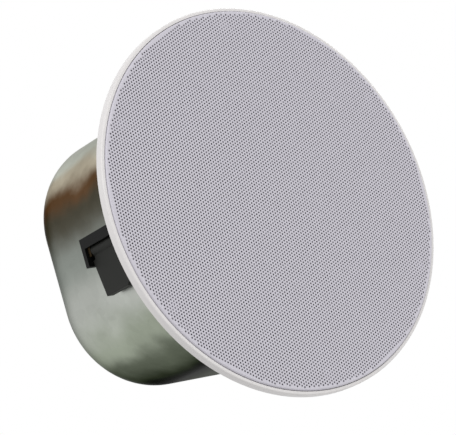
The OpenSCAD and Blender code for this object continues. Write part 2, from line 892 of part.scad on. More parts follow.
// Folded sheet cover, open towards the can, with an ear on two sides
module terminal_cover() {
  color("silver") translate([0, 0, can_back_z]) difference() {
    union() {
      translate([-cover_w / 2, -cover_l / 2, 0]) cube([cover_w, cover_l, cover_h]);
      translate([-ear_w / 2, -cover_l / 2 - ear_l, 0]) cube([ear_w, cover_l + 2 * ear_l, cover_t]);
    }
    translate([-cover_w / 2 + cover_t, -cover_l / 2 + cover_t, -cut])
      cube([cover_w - 2 * cover_t, cover_l - 2 * cover_t, cover_h - cover_t + cut]);
    for (y = [-1, 1]) translate([0, y * cover_screw_y, 0])
      disc(small_screw_r + hole_gap, -cut, cover_t + 2 * cut);
    translate([entry_x, -cover_l / 2 - cut, cover_h / 2]) rotate([-90, 0, 0])
      cylinder(r = grommet_bore / 2 + grommet_wall, h = cover_t + 2 * cut);
  }
}

// Block with a row of wire holes and a screw hole over each
module terminal_block() {
  color("ivory") translate([block_at[0], block_at[1], can_back_z]) difference() {
    cube(block_size);
    for (k = [0:floor(block_size[0] / block_pitch) - 1]) translate([6 + k * block_pitch, 0, 0]) {
      translate([0, -cut, 6]) rotate([-90, 0, 0]) cylinder(r = wire_hole_r, h = block_size[1] + 2 * cut);
      translate([0, block_size[1] / 2, 0]) disc(wire_hole_r + 0.4, 8, block_size[2]);
    }
  }
}

// Saddle over the cable, and its two screws
module cable_clamp() {
  head_z = saddle_size[2] + part_gap;
  color("silver") translate([entry_x, saddle_y, can_back_z]) {
    difference() {
      translate([-saddle_size[0] / 2, -saddle_size[1] / 2, 0]) cube(saddle_size);
      translate([0, -saddle_size[1] / 2 - cut, 0]) rotate([-90, 0, 0])
        cylinder(r = grommet_bore / 2, h = saddle_size[1] + 2 * cut);
      for (x = [-1, 1]) translate([x * saddle_screw_x, 0, 0]) disc(saddle_screw_r + 0.1, cut, saddle_size[2]);
    }
    for (x = [-1, 1]) translate([x * saddle_screw_x, 0, head_z]) mirror([0, 0, 1])
      pan_screw(saddle_screw_r, saddle_size[2] - 1.5, 2.8, small_head_h);
  }
}

module cover_screws() {
  color("silver") for (y = [-1, 1]) translate([0, y * cover_screw_y, can_back_z + cover_t])
    mirror([0, 0, 1]) pan_screw(small_screw_r - shank_gap, cover_t + can_t + 4, small_head_r, small_head_h);
}

// Grommet with its groove at z = 0 to the sheet's thickness, axis along Z
module grommet(sheet) {
  r = grommet_bore / 2;
  rotate_extrude() {
    ring_section(r, r + grommet_wall, -2, sheet + 4);
    ring_section(r, r + grommet_lip, -2, 2);
    ring_section(r, r + grommet_lip, sheet, 2);
  }
}

module cable_grommets() {
  color("black") {
    translate([feed_pos[0], feed_pos[1], can_floor_z]) grommet(can_t);
    translate([entry_x, -cover_l / 2, can_back_z + cover_h / 2]) rotate([-90, 0, 0]) grommet(cover_t);
  }
}

// Upright tab with a hole for a safety wire, on a riveted foot
module safety_lug() {
  color("silver") translate([lug_x, 0, can_back_z]) difference() {
    union() {
      translate([0, -lug_w / 2, 0]) cube([lug_t, lug_w, lug_hole_z]);
      translate([0, 0, lug_hole_z]) rotate([0, 90, 0]) cylinder(r = lug_w / 2, h = lug_t);
      translate([0, -lug_w / 2, 0]) cube([lug_foot, lug_w, bracket_t]);
    }
    translate([-cut, 0, lug_hole_z]) rotate([0, 90, 0]) cylinder(r = lug_hole_d / 2, h = lug_t + 2 * cut);
    for (p = lug_rivets) translate([p[0] - lug_x, p[1], 0])
      disc(rivet_r + rivet_gap, -cut, bracket_t + 2 * cut);
  }
}

// Blind rivets that hold the lug and the transformer's bracket
module rivets() {
  grip = can_t + bracket_t;
  color("silver") {
    for (p = lug_rivets) translate([p[0], p[1], can_back_z + bracket_t]) rotate([180, 0, 0]) rivet(grip);
    for (p = bracket_rivets) translate([p[0], p[1], can_back_z]) rotate([180, 0, 0]) rivet(grip);
  }
}

// Blind rivet with its head's seat at z = 0
module rivet(grip) {
  translate([0, 0, -1.2]) cylinder(r = 2 * rivet_r, h = 1.2);
  cylinder(r = rivet_r, h = grip + 1);
  translate([0, 0, grip]) cylinder(r = 1.4 * rivet_r, h = 2);
}

module guide_screws() {
  color("silver") on_flats() for (y = [-1, 1])
    translate([clamp_r + guide_screw_x, y * guide_screw_y, plate_z])
      pan_screw(small_screw_r - shank_gap, baffle_t + guide_foot_t - 0.5, small_head_r - 0.2, small_head_h);
}

// Guide of one clamp: back wall, stop cheek with its lip, end cap and foot
module clamp_guide(k) {
  back = guide_gap - clamp_offset;
  color("black") at_clamp(k) difference() {
    union() {
      translate([back, -guide_w / 2, plate_back_z]) cube([guide_t, guide_w, guide_h]);
      translate([back, guide_w / 2 - guide_t, plate_back_z]) cube([guide_depth, guide_t, guide_h]);
      translate([back + guide_depth - lip_w, arm_t / 2 + 0.35, plate_back_z])
        cube([lip_w, guide_w / 2 - arm_t / 2 - 0.35, guide_h]);
      translate([back, -guide_w / 2, cap_z]) cube([guide_depth, guide_w, guide_cap_t]);
      translate([0, 0, guide_top_z - eps]) cylinder(r = screw_r + 2, h = 1.5 + eps);
      translate([back, -guide_foot_w, plate_back_z]) cube([guide_depth + 5, 2 * guide_foot_w, guide_foot_t]);
    }
    disc(screw_r + run_gap, plate_back_z - 1, guide_h + 4);
    for (y = [-1, 1]) translate([guide_screw_x, y * guide_screw_y, plate_back_z - 1])
      cylinder(r = small_screw_r, h = guide_foot_t + 0.6);
  }
}

// Arm of one clamp, folded beside the flat: a hub on the nut's neck and a paddle with a sloping edge
module clamp_arm(k) {
  color("dimgray") at_clamp(k) difference() {
    union() {
      disc(hub_r, arm_z, arm_top_z - arm_z);
      translate([-arm_t / 2, 0, 0]) rotate([90, 0, 90]) linear_extrude(arm_t) polygon([
        [0, arm_z], [0, arm_top_z], [-hub_r - 2, arm_top_z], [-hub_r - 2.5, paddle_top_z],
        [-arm_l, paddle_top_z - arm_drop], [-arm_l, arm_z + 3], [-arm_l + 3, arm_z]
      ]);
    }
    disc(arm_bore_r, arm_z - 1, arm_h + 2);
  }
}

module clamp_screw(k) {
  color("silver") at_clamp(k) translate([0, 0, plate_z])
    pan_screw(screw_r, guide_top_z + 1.5 + screw_tip - plate_z, screw_head_r, screw_head_h);
}

// Nut of one clamp: a block that the guide keeps from turning, with a neck for the arm
module clamp_nut(k) {
  back = guide_gap - clamp_offset + guide_t + 0.3;
  color("goldenrod") at_clamp(k) difference() {
    union() {
      translate([back, -hub_r + 1, nut_block_z])
        cube([-2 * back, hub_r - 1 + guide_w / 2 - guide_t - 0.3, nut_block_h]);
      disc(neck_r, arm_z + 0.5, nut_block_z - arm_z);
    }
    disc(nut_bore_r, arm_z - 1, arm_h + 4);
  }
}

baffle();
flange_gasket();
can_seal();
back_can();
can_screws();
damping_lining();
grille();
grille_scrim();
grille_magnets();
basket();
front_gasket();
driver_screws();
cone();
surround();
spider();
voice_coil_former();
voice_coil_winding();
top_plate();
magnet();
yoke();
tweeter_post();
tweeter_housing();
tweeter_cup();
tweeter_magnet();
tweeter_dome();
tweeter_faceplate();
crossover_board();
board_standoffs();
inductors();
capacitors();
resistor();
transformer_core();
transformer_winding();
transformer_bracket();
selector_switch();
selector_knob();
terminal_cover();
terminal_block();
cable_clamp();
cover_screws();
cable_grommets();
safety_lug();
rivets();
guide_screws();
clamp_guide(1);  // clamp_guide_1
clamp_guide(2);  // clamp_guide_2
clamp_guide(3);  // clamp_guide_3
clamp_guide(4);  // clamp_guide_4
clamp_arm(1);  // clamp_arm_1
clamp_arm(2);  // clamp_arm_2
clamp_arm(3);  // clamp_arm_3
clamp_arm(4);  // clamp_arm_4
clamp_screw(1);  // clamp_screw_1
clamp_screw(2);  // clamp_screw_2
clamp_screw(3);  // clamp_screw_3
clamp_screw(4);  // clamp_screw_4
clamp_nut(1);  // clamp_nut_1
clamp_nut(2);  // clamp_nut_2
clamp_nut(3);  // clamp_nut_3
clamp_nut(4);  // clamp_nut_4
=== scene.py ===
"""Looks of a round recessed ceiling loudspeaker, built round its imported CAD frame. Lengths are in metres."""

import json
import logging
import math
from dataclasses import dataclass
from enum import Enum

import bmesh
import bpy
from mathutils import Matrix, Vector


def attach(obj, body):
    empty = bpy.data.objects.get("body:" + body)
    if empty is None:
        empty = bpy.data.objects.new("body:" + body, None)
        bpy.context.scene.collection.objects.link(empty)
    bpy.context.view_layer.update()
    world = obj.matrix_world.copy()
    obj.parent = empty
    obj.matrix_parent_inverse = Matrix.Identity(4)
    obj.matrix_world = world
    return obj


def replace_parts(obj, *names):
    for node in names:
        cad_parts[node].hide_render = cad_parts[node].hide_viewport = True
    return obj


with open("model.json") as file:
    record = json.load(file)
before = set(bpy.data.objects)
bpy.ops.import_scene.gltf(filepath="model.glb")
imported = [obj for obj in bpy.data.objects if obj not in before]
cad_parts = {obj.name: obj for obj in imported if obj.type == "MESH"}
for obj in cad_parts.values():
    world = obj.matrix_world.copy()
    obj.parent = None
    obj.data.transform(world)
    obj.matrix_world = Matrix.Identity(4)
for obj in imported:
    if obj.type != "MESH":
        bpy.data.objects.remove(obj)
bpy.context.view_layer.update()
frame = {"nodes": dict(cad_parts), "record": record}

MM = 0.001
HOUSING = "housing"
# A wave texture repeats every 2 pi / 20 of its scaled place.
WAVE_PERIOD = 2 * math.pi / 20
log = logging.getLogger("ceiling_loudspeaker")

Colour = tuple[float, float, float, float]
Stop = tuple[float, str]
Tree = bpy.types.NodeTree
Socket = bpy.types.NodeSocket


class Slot(Enum):
    """The record's material slots that new pieces take their finish from."""

    GRILLE = "grille_steel"
    SCREW = "plated_screw"


class Axis(Enum):
    """The direction in which bands or layers follow one another."""

    X = "X"
    Y = "Y"
    Z = "Z"


def linear(code: str, scale: float = 1.0) -> Colour:
    """Turns an sRGB hex colour into the linear colour that shaders take.

    Args:
        code: Six hex digits.
        scale: Factor on the linear colour, 1 to leave it as it is.

    Returns:
        Red, green, blue and alpha.
    """
    parts = [int(code[i : i + 2], 16) / 255 for i in (0, 2, 4)]
    plain = [p / 12.92 if p <= 0.04045 else ((p + 0.055) / 1.055) ** 2.4 for p in parts]
    return (*(min(1.0, p * scale) for p in plain), 1.0)


def add_node(tree: Tree, kind: str, inputs: dict | None = None, **settings: object) -> bpy.types.Node:
    """Adds one node with its settings and links.

    Args:
        tree: Node tree that gets the node.
        kind: Blender's name for the node's type.
        inputs: Socket name or number, and what goes there: a value, an output socket, or a node whose
            first output it is.
        settings: Properties of the node.

    Returns:
        The new node.
    """
    made = tree.nodes.new(kind)
    for name, value in settings.items():
        setattr(made, name, value)
    for socket, source in (inputs or {}).items():
        if isinstance(source, bpy.types.Node):
            source = source.outputs[0]
        if isinstance(source, Socket):
            tree.links.new(source, made.inputs[socket])
        else:
            made.inputs[socket].default_value = source
    return made


def per_metre(size_mm: float) -> float:
    """Texture scale whose features are size_mm millimetres wide."""
    return 1 / (size_mm * MM)


@dataclass(frozen=True)
class Finish:
    """A plain moulded, cast or plated surface with a fine grain and a slight drift of its colour.

    Attributes:
        name: The material and how its surface was made.
        colour: sRGB hex.
        roughness: Typical for the material, then matched.
        metallic: 1 for bare or plated metal.
        ior: Of the plastic or paint. Metals keep the default.
        grain_mm: Width of the grain on the surface.
        relief_mm: Height of the grain.
        drift: How far the colour wanders, as a share.
        drift_mm: Width of the clouds in which it wanders.
        gloss: Specular level of a plastic, 0.5 for what its IOR gives.
        edge: How bright a metal reflects at a grazing angle, 1 for a clean one.
    """

    name: str
    colour: str
    roughness: float = 0.5
    metallic: float = 0.0
    ior: float = 1.5
    grain_mm: float = 0.8
    relief_mm: float = 0.02
    drift: float = 0.05
    drift_mm: float = 25.0
    gloss: float = 0.5
    edge: float = 1.0

    def pattern(self, tree: Tree, place: Socket) -> tuple[Socket, Socket]:
        """Draws the colour and the relief.

        Args:
            tree: The material's node tree.
            place: Object coordinates.

        Returns:
            The colour output and the height output.
        """
        cloudy = {"Vector": place, "Scale": per_metre(self.drift_mm), "Detail": 3.0}
        grainy = {"Vector": place, "Scale": per_metre(self.grain_mm), "Detail": 2.0}
        clouds, grain = (add_node(tree, "ShaderNodeTexNoise", look) for look in (cloudy, grainy))
        tones = {0: clouds, 6: linear(self.colour, 1 - self.drift), 7: linear(self.colour, 1 + self.drift)}
        return add_node(tree, "ShaderNodeMix", tones, data_type="RGBA").outputs[2], grain.outputs[0]

    def make(self) -> bpy.types.Material:
        """Builds the material once.

        Returns:
            The material of that name.
        """
        if self.name in bpy.data.materials:
            return bpy.data.materials[self.name]
        material = bpy.data.materials.new(self.name)
        material.use_nodes = True
        tree = material.node_tree
        shader = tree.nodes["Principled BSDF"]
        shader.inputs["Metallic"].default_value = self.metallic
        shader.inputs["Roughness"].default_value = self.roughness
        shader.inputs["Specular Tint"].default_value = (self.edge, self.edge, self.edge, 1.0)
        if not self.metallic:
            shader.inputs["IOR"].default_value = self.ior
            shader.inputs["Specular IOR Level"].default_value = self.gloss
        place = add_node(tree, "ShaderNodeTexCoord").outputs["Object"]
        colour, height = self.pattern(tree, place)
        tree.links.new(colour, shader.inputs["Base Color"])
        relief = {"Strength": 1.0, "Distance": self.relief_mm * MM, "Height": height}
        bump = add_node(tree, "ShaderNodeBump", relief)
        tree.links.new(bump.outputs["Normal"], shader.inputs["Normal"])
        return material


@dataclass(frozen=True)
class Banded(Finish):
    """Bands that follow one another along an axis: the turns of a winding, or the sheets of a core.

    Attributes:
        band_mm: Width of one band with its joint.
        axis: Direction in which the bands follow one another.
        groove: sRGB hex of the joint between two bands.
        waver: How far the bands stray from straight.
    """

    band_mm: float = 0.5
    axis: Axis = Axis.Z
    groove: str = "101010"
    waver: float = 0.1

    def pattern(self, tree: Tree, place: Socket) -> tuple[Socket, Socket]:
        """Draws rounded bands with dark joints between them.

        Args:
            tree: The material's node tree.
            place: Object coordinates.

        Returns:
            The colour output and the height output.
        """
        bands = {"Vector": place, "Scale": per_metre(self.band_mm) * WAVE_PERIOD, "Distortion": self.waver}
        share = add_node(tree, "ShaderNodeTexWave", bands, bands_direction=self.axis.value).outputs["Fac"]
        tones = {0: share, 6: linear(self.groove), 7: linear(self.colour)}
        return add_node(tree, "ShaderNodeMix", tones, data_type="RGBA").outputs[2], share


@dataclass(frozen=True)
class Woven(Finish):
    """Cloth of crossing threads.

    Attributes:
        thread_mm: From one thread to the next.
        gap: Brightness of the gaps between threads, as a share of the cloth's colour.
    """

    thread_mm: float = 0.5
    gap: float = 0.55

    def pattern(self, tree: Tree, place: Socket) -> tuple[Socket, Socket]:
        """Draws threads along X and along Y, each crown lighter than the gaps.

        Args:
            tree: The material's node tree.
            place: Object coordinates.

        Returns:
            The colour output and the height output.
        """
        threads = {"Vector": place, "Scale": per_metre(self.thread_mm) * WAVE_PERIOD}
        along, across = (
            add_node(tree, "ShaderNodeTexWave", threads, bands_direction=way.value).outputs["Fac"]
            for way in (Axis.X, Axis.Y)
        )
        height = add_node(tree, "ShaderNodeMath", {0: along, 1: across}, operation="MAXIMUM").outputs[0]
        tones = {0: height, 6: linear(self.colour, self.gap), 7: linear(self.colour, 1 + self.drift)}
        return add_node(tree, "ShaderNodeMix", tones, data_type="RGBA").outputs[2], height


@dataclass(frozen=True)
class Cellular(Finish):
    """Foam or felt: open cells or tangled fibres that swallow light.

    Attributes:
        crown: Brightness of a cell's middle, as a share of the colour.
        hollow: Brightness between the cells.
    """

    crown: float = 1.25
    hollow: float = 0.6

    def pattern(self, tree: Tree, place: Socket) -> tuple[Socket, Socket]:
        """Draws cells with dark hollows.

        Args:
            tree: The material's node tree.
            place: Object coordinates.

        Returns:
            The colour output and the height output.
        """
        cells = add_node(tree, "ShaderNodeTexVoronoi", {"Vector": place, "Scale": per_metre(self.grain_mm)})
        share = cells.outputs["Distance"]
        tones = {0: share, 6: linear(self.colour, self.crown), 7: linear(self.colour, self.hollow)}
        return add_node(tree, "ShaderNodeMix", tones, data_type="RGBA").outputs[2], share


@dataclass(frozen=True)
class ZincCoat(Finish):
    """Zinc on steel, with crystals in it, and bands of painted reflection and painted shade round the walls,
    fixed to the angle round the can.

    Attributes:
        painted_light_bands: Stops of painted reflection and painted shade round the can, from the -X side over
            -Y, +X and +Y, as turns and sRGB hex.
        back: Tint of the flat back.
        wall_end: Height at which the walls' tints have given way to the back's.
        wall_fade: Height over which they give way.
        stray: How far the clouds shift the painted bands of light and shade, in turns.
        crystal_mm: Width of the zinc's crystals.
        crystal_share: How much of the drift comes from the crystals.
        ragged_mm: Width of the noise that bends the crystals' borders.
        ragged_by_mm: How far that noise bends them.
    """

    painted_light_bands: tuple[Stop, ...] = ()
    back: str = "A9ACA6"
    wall_end: float = 0.184
    wall_fade: float = 0.022
    stray: float = 0.05
    crystal_mm: float = 7.0
    crystal_share: float = 0.22
    ragged_mm: float = 9.0
    ragged_by_mm: float = 6.0

    def ground(self, tree: Tree, place: Socket, cloud: Socket) -> Socket:
        """Draws the painted reflections and painted shade as bands by the angle round Z, and the back's tint
        above them.

        Args:
            tree: The material's node tree.
            place: Object coordinates.
            cloud: Noise about zero that shifts the bands.

        Returns:
            The colour output.
        """
        parts = add_node(tree, "ShaderNodeSeparateXYZ", {0: place}).outputs
        angle = add_node(tree, "ShaderNodeMath", {0: parts["Y"], 1: parts["X"]}, operation="ARCTAN2")
        whole_turns = {0: angle, 1: 0.5 / math.pi, 2: 0.5}
        turn = add_node(tree, "ShaderNodeMath", whole_turns, operation="MULTIPLY_ADD")
        turn = add_node(tree, "ShaderNodeMath", {0: cloud, 1: self.stray, 2: turn}, operation="MULTIPLY_ADD")
        # The ramp paints bands of reflection and shade round the walls, by the angle round Z.
        ramp = add_node(tree, "ShaderNodeValToRGB", {0: turn})
        ramp.color_ramp.interpolation = "EASE"
        stops = ramp.color_ramp.elements
        for i, (at, tint) in enumerate(self.painted_light_bands):
            stop = stops[i] if i < 2 else stops.new(at)
            stop.position = at
            stop.color = linear(tint)
        heights = {"Value": parts["Z"], "From Min": self.wall_end - self.wall_fade, "From Max": self.wall_end}
        rise = add_node(tree, "ShaderNodeMapRange", heights)
        tones = {0: rise, 6: ramp, 7: linear(self.back)}
        return add_node(tree, "ShaderNodeMix", tones, data_type="RGBA").outputs[2]

    def pattern(self, tree: Tree, place: Socket) -> tuple[Socket, Socket]:
        """Draws the painted reflections and painted shade, blurred by clouds, and the crystals over them.

        Args:
            tree: The material's node tree.
            place: Object coordinates.

        Returns:
            The colour output and the height output.
        """
        cloudy = {"Vector": place, "Scale": per_metre(self.drift_mm), "Detail": 4.0}
        ragged = {"Vector": place, "Scale": per_metre(self.ragged_mm), "Detail": 2.0}
        clouds, border = (add_node(tree, "ShaderNodeTexNoise", look) for look in (cloudy, ragged))
        cloud = add_node(tree, "ShaderNodeMath", {0: clouds, 1: 0.5}, operation="SUBTRACT")
        ground = self.ground(tree, place, cloud.outputs[0])
        reach = {0: border.outputs["Color"], 1: (self.ragged_by_mm * MM,) * 3}
        bent = add_node(tree, "ShaderNodeVectorMath", reach, operation="MULTIPLY")
        where = add_node(tree, "ShaderNodeVectorMath", {0: place, 1: bent}, operation="ADD")
        cells = {"Vector": where, "Scale": per_metre(self.crystal_mm)}
        crystals = add_node(tree, "ShaderNodeTexVoronoi", cells)
        grey = add_node(tree, "ShaderNodeRGBToBW", {0: crystals.outputs["Color"]})
        crystal = add_node(tree, "ShaderNodeMath", {0: grey, 1: 0.5}, operation="SUBTRACT")
        both = {0: crystal, 1: self.crystal_share, 2: cloud}
        sway = add_node(tree, "ShaderNodeMath", both, operation="MULTIPLY_ADD")
        tone = add_node(tree, "ShaderNodeMath", {0: sway, 1: self.drift, 2: 1.0}, operation="MULTIPLY_ADD")
        shaded = add_node(tree, "ShaderNodeVectorMath", {0: ground, 1: tone}, operation="MULTIPLY")
        return shaded.outputs[0], crystals.outputs["Distance"]


# ABS as moulded: an even satin white with the faintest texture.
BEZEL = Finish("moulded_abs_white", "E4E1E1", 0.42, ior=1.54, grain_mm=0.6, relief_mm=0.008, drift=0.02)
# Polyester powder on steel sheet: a cool off-white with a slight orange peel.
POWDER = Finish("powder_coated_steel", "CFCCD6", 0.5, ior=1.52, grain_mm=0.9, relief_mm=0.02, drift=0.02)
# Zinc on drawn steel. Its walls carry bands of painted reflection and painted shade: pale, brown, grey-green
# and, along one side, nearly black. The zinc is dull at a grazing angle, since the bath leaves it matt.
ZINC = ZincCoat(
    "zinc_plated_steel_with_painted_reflections", "A9ACA6", 0.36, metallic=1.0, relief_mm=0.015, drift=0.4, drift_mm=42.0,
    edge=0.3, painted_light_bands=(
        # Painted reflection and painted shade round the walls, by turns from -X: pale, brown, grey-green, and
        # nearly black on one side.
        (0.0, "90958F"), (0.055, "504D43"), (0.077, "664F3C"), (0.105, "C8BFAB"), (0.13, "DDE0D4"),
        (0.24, "BCC0B6"), (0.36, "8C9088"), (0.5, "A7ABA2"), (0.62, "C2C6BE"), (0.735, "62665C"),
        (0.8, "20221C"), (0.86, "666C5F"), (0.895, "9AA192"), (0.945, "B6B9B3"), (1.0, "90958F"),
    ),
)
# The same zinc on a small folded cover: one pale tint, with crystals that show on its flats.
COVER_ZINC = ZincCoat(
    "zinc_plated_folded_steel", "A9ACA6", 0.34, metallic=1.0, relief_mm=0.02, drift=0.3, drift_mm=30.0,
    wall_end=0.1, back="B4B7B0",
)
# Bright zinc on turned screws: smooth, so each head has a small sharp highlight.
SCREW_ZINC = Finish(
    "bright_zinc_plated_steel", "C6C8C2", 0.28, metallic=1.0, grain_mm=0.5, relief_mm=0.01, drift=0.08,
    drift_mm=4.0,
)
# Black nylon as moulded: matt and so dark that its edges only show by their sheen.
GUIDE_NYLON = Finish(
    "moulded_nylon_black", "050605", 0.6, ior=1.53, grain_mm=0.5, drift=0.15, drift_mm=12.0, gloss=0.16,
)
# The arms' nylon, a shade lighter than the guides.
ARM_NYLON = Finish(
    "moulded_nylon_dark_grey", "1B1C19", 0.6, ior=1.53, grain_mm=0.6, drift=0.12, drift_mm=12.0, gloss=0.2,
)
# Brass as turned, gone brown with age and darkened further by painted shade, since the nut sits in the shade
# of its guide: no bright gleam between the black guide and arm.
BRASS = Finish(
    "turned_brass_aged_with_painted_shade", "3B3020", 0.5, metallic=1.0, grain_mm=0.3, relief_mm=0.005, drift=0.08,
    drift_mm=3.0,
)
# Closed-cell foam: a dull black strip with tiny pits.
FOAM = Cellular("closed_cell_foam", "1B1B1B", 0.9, grain_mm=0.6, relief_mm=0.15)
# Polyester felt: soft tangled fibres. They are drawn coarser than real ones, which would not show.
FELT = Cellular("polyester_felt", "C9C5B8", 0.95, grain_mm=1.2, relief_mm=0.6)
# Open acoustic cloth: black threads that hide what is behind the grille. They are drawn coarser than
# the real ones, which would not show.
SCRIM = Woven("black_acoustic_cloth", "16171A", 0.95, thread_mm=0.5, relief_mm=0.1)
# Nickel on sintered magnets: nearly a mirror.
MAGNET_PLATE = Finish("nickel_plated_neodymium", "B9B9BC", 0.16, metallic=1.0, grain_mm=0.3, relief_mm=0.003)
# Stoved paint on pressed steel: black with a soft sheen.
BASKET = Finish("painted_pressed_steel", "17181A", 0.4, ior=1.5, grain_mm=0.9, relief_mm=0.02, drift=0.1)
# Paper pulp pressed in a mould: dark, dry and fibrous, with no shine.
PULP = Finish("pressed_paper_pulp", "1E1F20", 0.85, grain_mm=1.4, relief_mm=0.12, drift=0.25, drift_mm=6.0)
# Moulded rubber: black with a broad dull sheen.
RUBBER = Finish("moulded_rubber", "151515", 0.55, ior=1.52, grain_mm=0.7, relief_mm=0.02, drift=0.1)
# Varnished cotton: a golden weave, drawn a little coarser than the real cloth so that it shows.
SPIDER = Woven("varnished_cotton_weave", "C08F45", 0.7, thread_mm=0.9, relief_mm=0.12)
# Polyimide film: smooth amber.
KAPTON = Finish("polyimide_film", "A8641E", 0.25, ior=1.7, grain_mm=0.4, relief_mm=0.003, drift=0.06)
# Enamelled wire, wound: copper bands with dark joints. Finer wire is drawn at this width so that it shows.
COPPER = Banded(
    "enamelled_copper_wire", "B8663A", 0.3, metallic=1.0, band_mm=0.6, groove="3A1A0C", relief_mm=0.15,
)
# Sintered ferrite: charcoal grey with a fine speckle.
FERRITE = Finish("sintered_ferrite", "2A2B2D", 0.6, grain_mm=0.5, relief_mm=0.03, drift=0.2, drift_mm=3.0)
# Black ABS as moulded: smoother and glossier than the nylon.
BLACK_ABS = Finish("moulded_abs_black", "141415", 0.38, ior=1.54, grain_mm=0.5, relief_mm=0.015, drift=0.1)
# Coated silk: black with a trace of its weave, drawn coarser than real silk so that it shows.
SILK = Woven("coated_silk", "202022", 0.5, thread_mm=0.4, relief_mm=0.03)
# Solder resist over copper tracks on a glass board: glossy green, lighter over the tracks.
BOARD = Banded(
    "solder_resist_on_glass_board", "1F5A33", 0.3, band_mm=4.0, axis=Axis.Y, groove="17492A", relief_mm=0.03,
)
# Natural nylon: a warm white with a soft sheen.
NYLON = Finish("moulded_nylon_natural", "DED9C8", 0.45, ior=1.53, grain_mm=0.6, relief_mm=0.01)
# Polyester film round a capacitor: smooth yellow with a clear highlight.
FILM = Finish("polyester_film_wrap", "C9A227", 0.22, ior=1.6, grain_mm=0.5, relief_mm=0.004)
# Glazed ceramic: an off-white body with a slightly uneven glaze.
CERAMIC = Finish("glazed_ceramic", "E3E0D6", 0.35, ior=1.55, grain_mm=0.7, relief_mm=0.03)
# Stacked silicon steel: dark grey sheets whose edges show as lines. Real sheets are 0.5 mm, and these are
# drawn wider so that they show.
LAMINATION = Banded(
    "stacked_silicon_steel", "4A4C50", 0.45, metallic=1.0, band_mm=0.8, axis=Axis.Y, groove="191A1C",
    relief_mm=0.08,
)

FINISHES: dict[str, Finish] = {
    "bezel_abs": BEZEL, "grille_steel": POWDER, "zinc_steel": ZINC, "plated_screw": SCREW_ZINC,
    "guide_nylon": GUIDE_NYLON, "arm_nylon": ARM_NYLON, "brass": BRASS, "foam": FOAM, "fibre": FELT,
    "black_cloth": SCRIM, "neodymium": MAGNET_PLATE, "basket_steel": BASKET, "paper": PULP, "rubber": RUBBER,
    "spider_cloth": SPIDER, "kapton": KAPTON, "copper": COPPER, "ferrite": FERRITE, "black_abs": BLACK_ABS,
    "dome_silk": SILK, "board": BOARD, "nylon_natural": NYLON, "capacitor_film": FILM, "ceramic": CERAMIC,
    "lamination": LAMINATION,
}


def dress(obj: bpy.types.Object, finish: Finish) -> None:
    """Gives an object one finish all over."""
    obj.data.materials.clear()
    obj.data.materials.append(finish.make())


def piece_from(
    name: str, mesh: bmesh.types.BMesh, finish: Finish, sharp_deg: float = 35.0,
) -> bpy.types.Object:
    """Turns built geometry into a shown piece.

    Args:
        name: Name of the piece.
        mesh: Its geometry, which is freed.
        finish: Its finish.
        sharp_deg: Edges that turn by more than this stay sharp.

    Returns:
        The object.
    """
    data = bpy.data.meshes.new(name)
    mesh.to_mesh(data)
    mesh.free()
    for face in data.polygons:
        face.use_smooth = True
    data.set_sharp_from_angle(angle=math.radians(sharp_deg))
    obj = bpy.data.objects.new(name, data)
    bpy.context.scene.collection.objects.link(obj)
    dress(obj, finish)
    return obj


def turned(profile: list[tuple[float, float]], steps: int) -> bmesh.types.BMesh:
    """Turns an open profile round the Z axis.

    Args:
        profile: Radius and height, in order, with the outside on the left of the way along it.
        steps: Steps round the circle.

    Returns:
        The surface.
    """
    mesh = bmesh.new()
    turns = [2 * math.pi * k / steps for k in range(steps)]
    rings = [[mesh.verts.new((r * math.cos(t), r * math.sin(t), z)) for t in turns] for r, z in profile]
    for low, high in zip(rings, rings[1:]):
        for k in range(steps):
            mesh.faces.new((low[k], high[k], high[k - 1], low[k - 1]))
    return mesh


@dataclass
class Assembly:
    """A sub-assembly whose CAD nodes stay and get their finish.

    Attributes:
        title: What the log calls it.
        nodes: Its CAD nodes.
        special: Finishes of the nodes that don't take the one of their slot.
    """

    title: str
    nodes: tuple[str, ...]
    special: dict[str, Finish] | None = None

    def build(self) -> list[str]:
        """Dresses the nodes.

        Returns:
            The names of the dressed pieces.
        """
        slots = {row["node"]: row["material_slot"] for row in frame["record"]["subparts"]}
        for name in self.nodes:
            dress(frame["nodes"][name], (self.special or {}).get(name, FINISHES[slots[name]]))
        return list(self.nodes)


